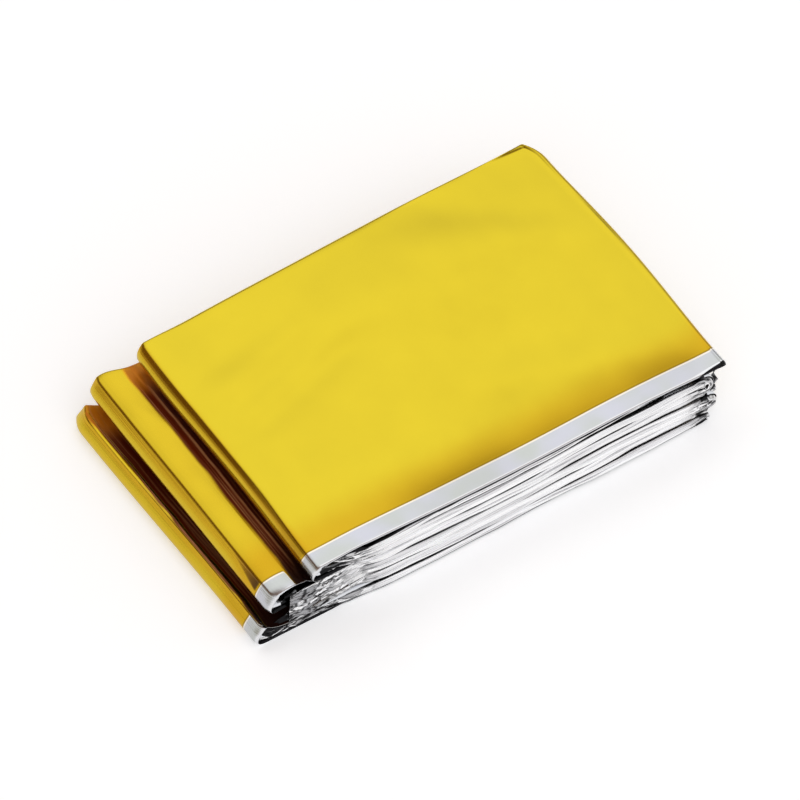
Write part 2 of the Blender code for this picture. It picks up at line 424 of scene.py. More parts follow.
# %% Node trees
class Book:
    """The node tree of a new material, or another one, with its shader."""

    def __init__(self, name, tree=None, shader="Principled BSDF"):
        if tree is None:
            self.material = bpy.data.materials.new(name)
            self.material.use_nodes = True
            tree = self.material.node_tree
        self.tree = tree
        self.shader = tree.nodes[shader]

    def plug(self, node, inputs):
        """Give a node's sockets their values or links."""
        for key, value in inputs.items():
            if isinstance(value, Number):
                self.tree.links.new(value.socket, node.inputs[key])
            else:
                node.inputs[key].default_value = value

    def add(self, kind, settings=None, inputs=None, output=0):
        """One output of a new node: its type, its settings, which are set first, and its sockets."""
        node = self.tree.nodes.new(kind)
        for key, value in (settings or {}).items():
            setattr(node, key, value)
        self.plug(node, inputs or {})
        return Number(self, node.outputs[output])

    def film(self):
        """Place on the film in metres, along and across, from the piece's own map."""
        return self.add("ShaderNodeUVMap", {"uv_map": "film"})

    def value(self, name):
        """One of the piece's own values."""
        return self.add("ShaderNodeAttribute", {"attribute_name": name}, output="Fac")

    def stretched(self, vector, along, across):
        """The same place in other units: below 1 draws a pattern out in that direction."""
        return self.add("ShaderNodeMapping", None, {"Vector": vector, "Scale": (along, across, 1.0)})

    def noise(self, vector, scale, detail=2.0, rough=0.5, along=1.0, across=1.0):
        """Noise between 0 and 1, in so many waves to a metre."""
        if (along, across) != (1.0, 1.0):
            vector = self.stretched(vector, along, across)
        return self.add("ShaderNodeTexNoise", None, {"Vector": vector, "Scale": scale,
                                                     "Detail": detail, "Roughness": rough}, "Fac")

    def step(self, number, low, high, start=0.0, end=1.0):
        """Smooth step: start below low, end above high."""
        return self.add("ShaderNodeMapRange", {"interpolation_type": "SMOOTHSTEP"},
                        {"Value": number, "From Min": low, "From Max": high,
                         "To Min": start, "To Max": end})

    def mix(self, factor, first, second):
        """Colour between two colours."""
        return self.add("ShaderNodeMix", {"data_type": "RGBA"}, {0: factor, 6: first, 7: second}, 2)

    def bump(self, height, distance, strength, **below):
        """Normal of a relief, on top of another one, Normal, if it is given."""
        return self.add("ShaderNodeBump", None,
                        {"Height": height, "Distance": distance, "Strength": strength, **below})


# %% [markdown]
# # 5. The film's two finishes
# The film is a clear plastic foil with a coat of aluminium. One side is lacquered gold, and the
# lacquer stops short of the edge, so a bare silver margin runs along it. Both are metals to the
# eye. What makes them look like film, and not like polished sheet, is their relief: long soft
# buckles and fine parallel pleats. Their colours also carry painted shade and highlights: in the
# folds, on the bends and towards the margin, along the margin's edges, and on the silver's pleats
# and crushed facets.

# %% Colours of the gold side
GOLD = (0.64, 0.492, 0.027, 1.0)
# Deeper gold: for random clouds, and for painted shade towards the margin and on the bends.
CLOUDED_AND_SHADED_GOLD = (0.576, 0.352, 0.015, 1.0)
LACQUER_RIM = (0.16, 0.10, 0.01, 1.0)
PAINTED_FOLD_SHADE = (0.13, 0.012, 0.001, 1.0)  # painted shade: dark red deep in the folds
PAINTED_PLEAT_HIGHLIGHT = (0.56, 0.25, 0.11, 1.0)  # painted highlights on its fine pleats and ridges
PAINTED_BACK_LIGHT = (0.62, 0.20, 0.010, 1.0)  # painted light in the folds towards the back
PAINTED_FRONT_SHADE = (0.02, 0.006, 0.004, 1.0)  # painted shade in the folds towards the front edge
MARGIN_SILVER = (0.49, 0.512, 0.497, 1.0)
MARGIN_LILAC = (0.545, 0.553, 0.617, 1.0)
PAINTED_CREAM_HIGHLIGHT = (0.80, 0.75, 0.66, 1.0)  # painted highlight where the lacquer ends
PAINTED_EDGE_HIGHLIGHT = (0.72, 0.73, 0.75, 1.0)  # painted highlight where the film ends
SHADED_SILVER = (0.016, 0.016, 0.017, 1.0)  # between the plies, where little light gets out again
MARGIN = 6.3  # mm, width of the bare margin
RIM_SHARE = 0.6  # how much of its rim is drawn

# %% Gold film
def lacquer_colour(book, film, edge, from_front, fold):
    """Gold that deepens by random clouds, and by painted shade towards the margin and where the film is
    bent. In the folds it turns to a painted dark red shade, with painted pink highlights on the pleats,
    painted black shade at the front and painted orange light at the back."""
    # Random clouds, and painted shade on the bends and towards the margin.
    depth = (book.noise(film, 45.0, detail=3.0) - 0.5) * 0.25 + book.value("bend")
    depth = depth + book.step(edge, MARGIN, MARGIN + 17.0, 0.75, 0.0)
    gold = book.mix(book.step(depth, 0.0, 1.0), GOLD, CLOUDED_AND_SHADED_GOLD)
    # Painted shade and light in the folds: dark red with pink highlights on the pleats and ridges, black
    # towards the front, orange light towards the back.
    pleats = book.noise(film, 1500.0, rough=0.6, across=0.010)
    red = book.mix(book.step(pleats, 0.50, 0.72, 0.0, 0.6), PAINTED_FOLD_SHADE, PAINTED_PLEAT_HIGHLIGHT)
    red = book.mix(book.step(fold, 1.1, 1.45), red, PAINTED_PLEAT_HIGHLIGHT)
    red = book.mix(book.step(from_front, 2.0, 22.0, 1.0, 0.0), red, PAINTED_FRONT_SHADE)
    red = book.mix(book.step(from_front, WIDTH - 15.0, WIDTH - 5.0), red, PAINTED_BACK_LIGHT)
    gold = book.mix(book.step(fold, 0.0, 1.0), gold, red)
    rim = book.step(edge, MARGIN + 0.15, MARGIN + 0.7, 1.0, 0.0) * RIM_SHARE
    return book.mix(rim, gold, LACQUER_RIM)


def margin_colour(book, film, edge):
    """Bare film: two blotched silvers, a painted cream highlight beside the lacquer, a painted highlight
    along the film's edge, and nearly black painted shade where the edge lies in shade, which is marked
    by a distance below 0."""
    blotches = book.step(book.noise(film, 90.0, detail=1.0), 0.3, 0.7)
    bare = book.mix(blotches, MARGIN_SILVER, MARGIN_LILAC)
    # Painted highlights: cream beside the lacquer, brighter silver along the film's edge.
    bare = book.mix(book.step(edge, MARGIN - 0.7, MARGIN - 0.3), bare, PAINTED_CREAM_HIGHLIGHT)
    bare = book.mix(book.step(edge, 0.5, 1.1, 1.0, 0.0), bare, PAINTED_EDGE_HIGHLIGHT)
    return book.mix(book.step(edge, -0.5, -0.3, 1.0, 0.0), bare, SHADED_SILVER)


def gold_film():
    """The gold side: lacquer up to the margin, with a wavering edge, matt in the folds, over broad
    buckles, a fine tooth, and streaks across the creases."""
    book = Book("gold_film")
    film, from_front, fold = book.film(), book.value("from_front"), book.value("fold")
    edge = from_front + (book.noise(film, 60.0) - 0.5) * 0.12
    # In the folds the painted shade is carried over the margin.
    edge = edge + book.step(fold, 0.0, 1.0) * book.step(from_front, -0.4, 0.2) * (MARGIN + 1.0)
    colour = book.mix(book.step(edge, MARGIN - 0.08, MARGIN + 0.08), margin_colour(book, film, edge),
                      lacquer_colour(book, film, edge, from_front, fold))
    # The painted shade in the folds is also matt, so it shows as a dull dark red.
    matt = book.step(fold, 0.40, 0.90)
    rough = 0.19 + book.noise(film, 90.0, detail=3.0) * 0.08 + matt * 0.14
    streaks = book.noise(film, 1000.0, rough=0.6, across=0.012) * (book.value("bend") + fold * 1.5)
    normal = book.bump(book.noise(film, 70.0, detail=1.0, across=0.5), 0.0006, 0.55)
    normal = book.bump(book.noise(film, 900.0, 3.0, 0.6, across=0.25), 0.00002, 0.05, Normal=normal)
    normal = book.bump(streaks, 0.00012, 0.6, Normal=normal)
    book.plug(book.shader, {"Base Color": colour, "Metallic": 1.0 - matt * 0.75,
                            "Specular IOR Level": 0.12, "Roughness": rough, "Normal": normal})
    return book.material


# %% Silver film
PAINTED_PLEAT_LIGHT_AND_SHADE = (0.66, 0.66, 0.67, 1.0), (0.99, 0.99, 0.99, 1.0)  # painted shade and light of the pleats: dull and bright
WHITE_SILVER = (0.97, 0.97, 0.98, 1.0)
PAINTED_FACET_SHADE = (0.24, 0.24, 0.25, 1.0)  # crushed film: facets of unlike greys, painted shade
FACETS = 1350.0  # of them to a metre


def silver_film():
    """The silver side: fine pleats along the strip in painted bright and dull silver for their light and
    shade, grey facets with dark creases of painted shade where it is crushed, and nearly black painted
    shade deep between the plies."""
    book = Book("silver_film")
    film, crush = book.film(), book.value("crush")
    tone = book.noise(film, 60.0, across=4.0)
    pleats = book.noise(film, 800.0, rough=0.6, along=0.02)
    # Painted light and shade of the fine pleats: bright and dull silver.
    silver = book.mix(book.step(pleats, 0.35, 0.62), *PAINTED_PLEAT_LIGHT_AND_SHADE)
    silver = book.mix(tone * 0.5, silver, WHITE_SILVER)
    cells = {"Vector": book.stretched(film, 0.16, 1.0), "Scale": FACETS}
    facets = book.add("ShaderNodeTexVoronoi", None, cells, "Color")
    facets = book.step(facets, 0.25, 0.65, 0.85, 0.0)
    creases = book.add("ShaderNodeTexVoronoi", {"feature": "DISTANCE_TO_EDGE"}, cells)
    creases = book.step(creases, 0.02, 0.12, 0.9, 0.0)
    # Painted shade of crushed film: grey facets and nearly black creases.
    silver = book.mix(crush * facets, silver, PAINTED_FACET_SHADE)
    silver = book.mix(crush * creases, silver, SHADED_SILVER)
    silver = book.mix(book.step(book.value("depth"), 1.0, 2.4), silver, SHADED_SILVER)
    normal = book.bump(book.noise(film, 1800.0, detail=1.0, along=0.03), 0.00008, 0.4)
    normal = book.bump(book.noise(film, 260.0, along=0.5), 0.0002, 0.3, Normal=normal)
    book.plug(book.shader, {"Base Color": silver, "Metallic": 1.0, "Roughness": 0.16 + tone * 0.1,
                            "Normal": normal})
    return book.material


gold, silver = gold_film(), silver_film()
print("nodes of the two finishes:", len(gold.node_tree.nodes), len(silver.node_tree.nodes))

# %% [markdown]
# # 6. The gold wrap
# The strip's outermost ply closes each packed layer like a flat tube: gold above and below, round
# at the back and open at the front. A Solidify modifier can't leave one side open, so the loop is
# written out: inner face of the front edge, outer face, back bend, the other outer face, and the
# inner face of its edge. Its creases are listed as soft troughs and ridges, because a cloth
# simulation can't hold such flat folds.

# %% Front edges of the wrap
FILM = 0.12  # mm, thickness of the film as drawn, several times the real one
LIP = 5.0  # how far the inner face is drawn in from the front edge
# How far its two front edges lie behind the layer's own, by layer.
front_over = table_along([1.0, 0.0, 1.0, 0.0, 1.0, 0.0, 0.8],
                         [1.0, 0.0, 1.0, 0.0, 0.5, 1.2, 1.6],
                         [0.6, 0.0, 1.6, 1.6, 1.6, 1.6, 1.0])
front_under = table_along([1.0, 1.5, 1.5, 2.0, 1.5, 2.5, 1.6],
                          [1.0, 1.5, 1.0, 0.0, 0.5, 1.0, 1.0],
                          [0.6, 1.5, 1.6, 1.6, 1.6, 1.6, 1.4])
print("front edges up to", round(float(front_under.max()), 1), "mm behind the layer's own")

# %% Creases
# Soft ridges and troughs of the wrap, by layer: x and y of their two ends in the panel's frame, half
# width and height, mm.
CREASES = {TOP: [(20.0, 30.0, 60.0, 12.0, 9.0, 0.26),
                 (-35.0, 20.0, 10.0, -5.0, 11.0, -0.26),
                 (-60.0, -20.0, -15.0, -38.0, 10.0, 0.24),
                 (-52.0, 26.0, -34.0, 30.0, 5.0, -0.22),
                 (-50.0, 13.0, -32.0, 19.0, 4.5, -0.24),
                 (-50.0, 3.0, -24.0, 11.0, 4.5, -0.26),
                 (8.0, -20.0, 46.0, -34.0, 7.0, 0.24),
                 (28.0, 40.0, 50.0, 22.0, 6.0, -0.20)],
           VALLEY: [(-74.0, 30.0, -68.0, 14.0, 2.0, 0.16),
                    (-72.0, 6.0, -69.0, -18.0, 2.2, -0.12)]}


def crease_height(layer, x, y):
    """Sum of the layer's creases: each a bell across its line, which dies out past its ends."""
    total = np.zeros_like(x)
    for x1, y1, x2, y2, width, height in CREASES[layer]:
        run = np.hypot(x2 - x1, y2 - y1)
        ux, uy = (x2 - x1) / run, (y2 - y1) / run
        a = (x - x1) * ux + (y - y1) * uy
        b = (y - y1) * ux - (x - x1) * uy
        past = np.maximum(np.maximum(-a, a - run), 0.0)
        total = total + height * np.exp(-(b / width) ** 2 - (past / (2 * width)) ** 2)
    return total


print("creases of the top panel and the valley:", *(len(rows) for rows in CREASES.values()))

# %% Crown of the top panel
CROWN = (21.7, 21.3, 0.3)  # its level at its two ends, and its sag between them
CROWN_FRONT, CROWN_BACK = 9.0, 30.0  # it falls to the front and back edges over these
FRONT_SLOPE = 0.105  # its slope where it meets the front margin, between two ramps
SLOPE_START, SLOPE_END = (-64.0, 42.0), (69.0, -16.0)
ROLL = (0.50, 62.0, 6.0)  # it rolls down at the right end: height, place and length


def crown_height(x, y, level, v):
    """How far the top panel stands above the even packet: its crown, less a slope to the front
    margin and the roll, with its creases."""
    left, right, sag = CROWN
    share = np.clip(x / PANEL_LENGTH + 0.5, 0.0, 1.0)
    lift = np.maximum(left + (right - left) * share - sag * np.sin(np.pi * share) - level, 0.0)
    height, place, length = ROLL
    roll = height * np.exp(-np.maximum(place - x, 0.0) / length)
    slope = FRONT_SLOPE * ramp(x, *SLOPE_START) * ramp(x, *SLOPE_END)
    front = slope * CROWN_FRONT * np.exp(-np.maximum(v * WIDTH - MARGIN, 0.0) / CROWN_FRONT)
    back = smooth((1.0 - v) * WIDTH / CROWN_BACK)
    return lift * back - front - roll + crease_height(TOP, x, y)


# %% Valley and trough
# Each fold dips where it goes in under the nose above it: place along X, half width, depth. Fine
# ridges run along the dip: place, and the strength of the painted highlight on them.
DIPS = {VALLEY: (-62.0, 4.2, 2.2), TROUGH: (-76.5, 6.0, 2.4)}
RIDGES = {VALLEY: [(-67.6, 1.0)], TROUGH: [(-82.7, 1.0), (-80.2, 0.5)]}
RIDGE_WIDTH, RIDGE_HEIGHT = 0.45, 0.30
TOP_NOSE = -66.5  # place along X that stands for the top nose's line
FOLD_CLOSING = 11.0  # a dip rises again over this much of the width, to the back edge
PLEAT_STEP, PLEAT_HEIGHT = 1.15, 0.07  # of the trough's fine pleats, between two ramps
PLEATS_START, PLEATS_END = (-84.0, 2.0), (-62.0, -4.0)


def bell(x, place, width, height):
    """Bell across a line: e to the minus square of the distance in widths, times its height."""
    return height * np.exp(-((x - place) / width) ** 2)


def drift(y):
    """How far the valley's lines wander along X."""
    return 0.35 * wander(y, 61, 47.0)


def fold_relief(layer, x, y, v):
    """How far a lower fold stands above the even packet: its ridges and pleats, less its dip."""
    closing = smooth((1.0 - v) * WIDTH / FOLD_CLOSING)
    place = x - fold_line(TOP, v) + TOP_NOSE + drift(y) if layer == VALLEY else x
    relief = sum(bell(place, ridge, RIDGE_WIDTH, RIDGE_HEIGHT) for ridge, highlight in RIDGES[layer])
    relief = relief - bell(place, *DIPS[layer]) * closing
    if layer == VALLEY:
        return relief + crease_height(VALLEY, x, y)
    waving = x + 0.5 * np.sin(y / 23.0) + 0.02 * y
    pleats = PLEAT_HEIGHT * np.abs(np.sin(np.pi * waving / PLEAT_STEP))
    return relief + pleats * ramp(x, *PLEATS_START) * ramp(x, *PLEATS_END)


# %% Faces of the wrap
CLOSED = 0.6  # mm, least thickness of a packet


def packet_relief(mid, half, v):
    """The relief for a table v of places, never so low that it would squeeze a packet shut."""
    relief = np.zeros_like(half)
    x, y = panel_place(mid)
    level = mid[..., 2] - wave(x, y)
    for s in RUNS:
        if s.number == TOP:
            relief[s.rows] = crown_height(x[s.rows], y[s.rows], level[s.rows], v[s.rows])
        elif s.number in (VALLEY, TROUGH):
            relief[s.rows] = fold_relief(s.number, x[s.rows], y[s.rows], v[s.rows])
    return np.maximum(relief, CLOSED - 2.0 * half)


def face(side, v, inwards):
    """The outer face, side 1, with the relief, or the under face, side -1, or its inner side that
    many millimetres in. Then the strip's middle, normals and half thickness there."""
    mid, normal, half = strip(v)
    out = half + packet_relief(mid, half, v) * (side > 0) - inwards
    return mid + side * normal * out[..., None], mid, normal, half


def back_bend(mid, normal, half):
    """Round the back edge: a half circle from the outer face to the under face."""
    end_mid, end_normal, end_half = mid[:, -1], normal[:, -1], half[:, -1]
    out = end_mid - mid[:, -2]
    out -= (out * end_normal).sum(1, keepdims=True) * end_normal
    out /= np.linalg.norm(out, axis=1, keepdims=True)
    theta = np.linspace(0.0, np.pi, BACK_COLUMNS + 2)[1:-1]
    turn = (np.cos(theta)[None, :, None] * end_normal[:, None]
            + np.sin(theta)[None, :, None] * out[:, None])
    return end_mid[:, None] + end_half[:, None, None] * turn


# %% Shade at the front edges
# Where a face lies between two layers its front edge is in shade, and the finish is told so by a
# distance from the front edge below 0. By side, the layers that are covered from their left end on,
# and those that are covered from the pocket's start on.
COVERED = {1: (2, 4), -1: (1, 2, 3, 4, 5)}
HALF_COVERED = {1: (3, 5), -1: ()}
POCKET_START, POCKET_END = -56.0, 54.0
POCKET_DEPTH = 2.0  # mm past the margin
CORNER_SHADE, CORNER_WIDTH, CORNER_START = 3.2, 2.6, (50.0, 14.0)  # at the top right corner


def front_distance(side, v, mid):
    """Distance of a face's points from its front edge, less at the top right corner of the outer
    face, and -1 in the pockets."""
    distance = (v - (front_over if side > 0 else front_under) / WIDTH) * WIDTH
    x = panel_place(mid)[0]
    if side > 0:
        corner = ramp(x, *CORNER_START) * smooth(1.0 - distance / CORNER_WIDTH)
        corner[SECTIONS[3].rows.start:] = 0.0
        distance = distance - CORNER_SHADE * corner
    pocket = np.zeros(x.shape, bool)
    for s in RUNS:
        if s.number in COVERED[side] + HALF_COVERED[side]:
            start = POCKET_START if s.number in HALF_COVERED[side] else -np.inf
            pocket[s.rows] = (x[s.rows] > start) & (x[s.rows] < POCKET_END)
    return np.where(pocket & (distance < MARGIN + POCKET_DEPTH), -1.0, distance)


# %% Painted shade and light in the folds and on the bends
# By fold: the nose whose line it follows, the place along X that stands for that line, and the two
# places between which its painted shade deepens.
FOLD_SHADE_EDGE = {VALLEY: (TOP, TOP_NOSE, -71.2, -69.8), TROUGH: (TROUGH, -85.0, -82.0, -81.2)}
LEAST_FOLD_SHADE, BACK_FOLD_SHADE = 0.06, 0.3  # how much painted shade there is before the valley's edge, and at the back edge
# Painted shade along the creases of the noses: how far round the nose, how much, and how much
# further towards the front edge, over WEDGE_LENGTH.
CREASE_SHADE = {1: (0.30, 0.30, 0.05), 3: (0.10, 0.30, 0.34), 5: (0.10, 0.25, 0.0)}
WEDGE_LENGTH = 15.0
NOSE_BEND, CREASE_BEND, VALLEY_BEND = 0.45, 0.55, 0.42  # round a nose, more at its crease, on a run
CREASE_PLACE, CREASE_WIDTH = 0.12, 0.25  # of the way round a nose


def fold_shade_and_highlight(points, from_front):
    """How much painted shade the film takes in a fold: 0 outside, 1 in the valley and the trough, and up
    to 1.5 for the painted highlight on their ridges, with less towards the back edge. Along the noses'
    creases it takes painted shade too."""
    x, y = panel_place(points)
    v = np.clip((y - LAYERS[TOP].front_left) / WIDTH, 0.0, 1.0)
    x = x + drift(y)
    closing = BACK_FOLD_SHADE + (1.0 - BACK_FOLD_SHADE) * smooth((1.0 - v) * WIDTH / FOLD_CLOSING)
    deep = np.zeros_like(x)
    for s in SECTIONS:
        if not s.nose and s.number in FOLD_SHADE_EDGE:
            line, nose, start, end = FOLD_SHADE_EDGE[s.number]
            across = x[s.rows] - fold_line(line, v[s.rows]) + nose
            rise = smooth((across - start) / (end - start))
            place = across if s.number == VALLEY else x[s.rows]
            ridge_highlight = sum(bell(place, ridge, RIDGE_WIDTH, highlight) for ridge, highlight in RIDGES[s.number])
            if s.number == VALLEY:
                rise = LEAST_FOLD_SHADE + (1.0 - LEAST_FOLD_SHADE) * rise
            else:
                rise = np.maximum(rise, ridge_highlight)
            deep[s.rows] = rise + 0.5 * ridge_highlight
        if s.nose and s.number in CREASE_SHADE:
            reach, strength, wedge = CREASE_SHADE[s.number]
            behind = from_front[s.rows] - MARGIN
            wedge = wedge * np.clip(1.0 - behind / WEDGE_LENGTH, 0.0, 1.0)
            nose_shade = (strength + 1.6 * wedge) * smooth(behind / 1.2)
            deep[s.rows] = nose_shade * smooth((reach + wedge - s.step[:, None]) / 0.10)
    return deep * closing


def bends():
    """How far the strip is bent, along it, evened over nine rows with a raised cosine. The finish
    deepens the gold by it as painted shade, and streaks it.
    """
    bent = np.zeros(ROWS)
    for s in SECTIONS:
        if s.nose:
            near_crease = smooth(1.0 - np.abs(s.step - CREASE_PLACE) / CREASE_WIDTH)
            bent[s.rows] = NOSE_BEND + CREASE_BEND * near_crease
        elif s.number == VALLEY:
            bent[s.rows] = VALLEY_BEND
    kernel = np.hanning(9)
    kernel /= kernel.sum()
    return np.convolve(bent, kernel, mode="same")[:, None]


# %% Places across the wrap
FACE_COLUMNS, BACK_COLUMNS, UNDER_COLUMNS, LIP_COLUMNS = 104, 8, 24, 4
FACE_CROWDING = 0.45  # share of the outer face's columns that crowd towards its front


def places(front, columns, crowded=0.0):
    """Places across the strip from its front edge to the back bend, crowded towards the front by a
    square."""
    last = 1.0 - PACKET / 2 / WIDTH
    u = np.linspace(0.0, 1.0, columns)
    u = (1.0 - crowded) * u + crowded * u ** 2
    return front / WIDTH + (last - front / WIDTH) * u[None, :]


# %% The wrap
# Five strips of columns side by side, from the inner face of one edge to that of the other.
lip = np.linspace(1.0, 0.0, LIP_COLUMNS)[None, :] * LIP / WIDTH
lip_over = face(1, front_over / WIDTH + lip, FILM)[0]
v_over = places(front_over, FACE_COLUMNS, FACE_CROWDING)
face_over, mid_over, normal, half = face(1, v_over, 0.0)
bend = back_bend(mid_over, normal, half)
v_under = places(front_under, UNDER_COLUMNS)[:, ::-1]
face_under, mid_under = face(-1, v_under, 0.0)[:2]
lip_under = face(-1, front_under / WIDTH + lip[:, ::-1], FILM)[0]
points = np.concatenate([lip_over, face_over, bend, face_under, lip_under], axis=1)
# The inner faces of the lips are marked -1 for painted shade.
inside = np.full(lip_over.shape[:2], -1.0)
from_front = np.concatenate([inside, front_distance(1, v_over, mid_over),
                             np.full(bend.shape[:2], WIDTH),
                             front_distance(-1, v_under, mid_under), inside], axis=1)
film_map, wrap_girth = film_places(points)
# fold: painted shade and highlights in the folds; bend: painted shade and streaks on the bends.
values = {"from_front": from_front, "bend": bends(), "fold": fold_shade_and_highlight(points, from_front)}
wrap = sheet_mesh("gold_wrap", points, film_map, values)
wrap.data.materials.append(gold)
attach(wrap, "root")
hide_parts("foil_blanket")
print("wrap:", len(wrap.data.polygons) * 2, "triangles, area", round(flat_area(wrap), 4),
      "of", round(strip_length * wrap_girth * 1e-6, 4))

# %% [markdown]
# # 7. The silver plies
# Inside the wrap the film goes to and fro across the strip, silver side out. At the open front its
# folds show as a few rounded edges, one above the other. Modelling every ply would take millions of
# faces, so three folds a layer carry the form, and the finish draws the finer pleats on them.

# %% Where the plies lie
# By layer, how far the folds lie behind the layer's front edge, and the heights, from the middle of
# the packet, between which they spread at the front.
front = table_along([2.0, 0.8, 2.0, 1.8, 2.0, 4.0, 0.9],
                    [1.5, -0.1, -0.9, -2.6, -2.0, -1.4, -0.8],
                    [3.0, 1.0, -0.2, 0.1, 0.0, 0.1, 0.0])
high = table_along([0.2, 0.6, 0.9, 0.3, 1.1, -0.9, 1.08],
                   [0.4, 0.95, 1.3, 1.5, 1.8, 1.8, 0.98],
                   [0.4, -0.8, 1.3, 1.8, 1.8, 1.8, 1.0])
low = table_along([-0.4, -1.0, -1.1, -1.2, -1.3, -1.3, -1.2],
                  [-0.5, -2.2, -1.7, -1.8, -1.8, -1.8, -1.5],
                  [-0.5, -1.3, -1.7, -1.8, -1.8, -1.8, -2.0])
print("plies from", round(float(front.min()), 1), "to", round(float(front.max()), 1), "mm behind the edge")

# %% Section of the plies
PLY_FOLDS = 3
PLY_GAP = 0.01  # between two folds, as a share of half the packet
LEAST_REACH = 0.06  # of a fold, the same share
NOSE_POINTS = 11
NOSE_POWER = 2.6  # of the rounded edge, from 2 for a circle to 4 for nearly square
PLY_STEPS = (16.0, 6.0, 2.5)  # distances behind the edge at which a ply has a point


def ply_section():
    """Depth behind the front and height, from -1 to 1 across the packet, of each column of the
    plies: in along the lower side of a fold, round its edge by a superellipse, and out again. The
    borders between folds and their edges wander."""
    borders = [-1.0]
    for k in range(1, PLY_FOLDS):
        borders.append(-1.0 + 2.0 * k / PLY_FOLDS + 0.35 * wander(along, 20 + k, 130.0))
    borders.append(1.0)
    round_edge = [(0.0, turn, 1.0 - (1.0 - abs(turn) ** NOSE_POWER) ** (1 / NOSE_POWER))
                  for turn in -np.cos(np.linspace(0.0, np.pi, NOSE_POINTS))]
    outline = ([(step, -1.0, 0.0) for step in PLY_STEPS] + round_edge
               + [(step, 1.0, 0.0) for step in reversed(PLY_STEPS)])
    depth, height = [], []
    for k in range(PLY_FOLDS):
        bottom, top = borders[k] + PLY_GAP, borders[k + 1] - PLY_GAP
        centre = (bottom + top) / 2
        reach = np.maximum((top - bottom) / 2, LEAST_REACH)
        edge = 0.35 * (1.0 + wander(along, 40 + k, 70.0))
        for step, turn, round_off in outline:
            depth.append(edge + step + reach * (high - low) * 0.5 * round_off)
            height.append(centre + reach * turn)
    return (np.concatenate([np.broadcast_to(values, (ROWS, 1)) for values in table], axis=1)
            for table in (depth, height))


# %% Spread and shade of the plies
FLARE_LENGTH = 5.0  # they spread over their last few millimetres
INSIDE, FLARE_PAST = 0.25, 0.6  # they stay this far inside the wrap, and may spread past it in front
SHADE_LINE = {TOP: 0.52, FOOT: 0.50}  # by layer, the height beyond which they lie in shade
SHADE_DEPTH = 2.6  # mm, how deep the finish should take a shaded ply to lie
TOP_LINE_DROP = 0.30  # the top layer's line is lower past a ramp, and ends over another
TOP_DROP_START, TOP_LINE_END = (-42.0, 20.0), (44.0, -22.0)
TOP_DARK, FOOT_LINE_START = (52.0, 4.0), (-60.0, 20.0)  # the top layer is all in shade at the right
DENT_SHADE, DENT_SHADE_RIGHT = 4.5, 10.0  # of the dents' hollows: everywhere, and more at the right
DENT_SHADE_START = (52.0, 6.0)


def ply_limits(depth, half, relief, on_nose):
    """Heights between which the plies lie: inside the packet, and at the front between the tables'
    values, as far as the relief above leaves room. On a nose they stay inside."""
    spread = smooth(1.0 - depth / FLARE_LENGTH)
    inner = half - INSIDE
    top = np.minimum(high + 0.2, inner + relief)
    room = half + FLARE_PAST + 2.0 * np.minimum(relief, 0.0) + np.maximum(relief, 0.0)
    top = top + (np.minimum(high, room) - top) * spread
    bottom = -inner + (low + inner) * spread
    top = np.where(on_nose, np.minimum(top, inner), top)
    bottom = np.where(on_nose, np.maximum(bottom, -inner), bottom)
    return bottom, np.maximum(top, bottom + 0.15)


def ply_shade(depth, height, hollow, x):
    """Depth of each point as the finish should see it: its real depth, more in the hollows of the
    crumples, along the line under the top layer's margin, and along the foot."""
    shade = depth + hollow * (DENT_SHADE + DENT_SHADE_RIGHT * ramp(x, *DENT_SHADE_START))
    for s in RUNS:
        if s.number in SHADE_LINE:
            run_x, line = x[s.rows], SHADE_LINE[s.number]
            if s.number == TOP:
                line = line - TOP_LINE_DROP * ramp(run_x, *TOP_DROP_START)
                shown, least = ramp(run_x, *TOP_LINE_END), ramp(run_x, *TOP_DARK)
            else:
                shown, least = ramp(run_x, *FOOT_LINE_START), 0.0
            dark = smooth((height[s.rows] - line) / 0.2) * shown
            shade[s.rows] += SHADE_DEPTH * np.maximum(dark, least)
    return shade


# %% Heights of the plies
depth, height = ply_section()
v = (front + depth) / WIDTH
mid, normal, half = strip(v)
x = panel_place(mid)[0]
relief = packet_relief(mid, half, v)
on_nose = np.zeros((ROWS, 1), bool)
for s in SECTIONS:
    on_nose[s.rows] = s.nose
bottom, top = ply_limits(depth, half, relief, on_nose)
lift = bottom + (top - bottom) * (height + 1.0) / 2.0
print("plies in", lift.shape[1], "columns, up to", round(float((top - bottom).max()), 1), "mm thick")

# %% Crumples of the plies
CRUMPLE = 0.75  # mm, their depth
CRUMPLE_DEPTH = 9.0  # mm behind the edge over which these die out
CRUMPLED_LEFT, CRUMPLED_RIGHT = (-44.0, -16.0), (48.0, 10.0)  # ramps of the two crumpled ends
RIGHT_CRUMPLE, NOSE_CRUMPLE = 0.9, 0.3  # how much there is of them at the right, and round a nose
ROOM_ABOVE = (0.9, 0.3)  # mm left over them in the top layers, and lower down
FLOOR_ROOM = 0.12  # mm left under them

ends = ramp(x, *CRUMPLED_LEFT) + RIGHT_CRUMPLE * ramp(x, *CRUMPLED_RIGHT)
rough = ends * smooth(1.0 - depth / CRUMPLE_DEPTH) * CRUMPLE
rough = np.where(on_nose, NOSE_CRUMPLE * rough, rough)
a, b = along * 0.6 + 0.0 * depth, depth * 1.4 + height * 2.0
dents = crumple(a, b, 6, 2.0)
hollow = np.maximum(0.1 - dents, 0.0) * rough
in_top = np.arange(ROWS)[:, None] < SECTIONS[3].rows.stop
ceiling = np.maximum(lift, half + relief - np.where(in_top, *ROOM_ABOVE))
crushed_lift = np.minimum(lift + rough * crumple(a, b, 7, 2.2), ceiling)
lift = np.maximum(crushed_lift, np.minimum(lift, 0.2 - half))
points = mid + normal * lift[..., None]
shift = np.stack([crumple(a, b, 5, 2.6), 0.2 - dents, 0.0 * dents], axis=2)
points = points + rough[..., None] * shift
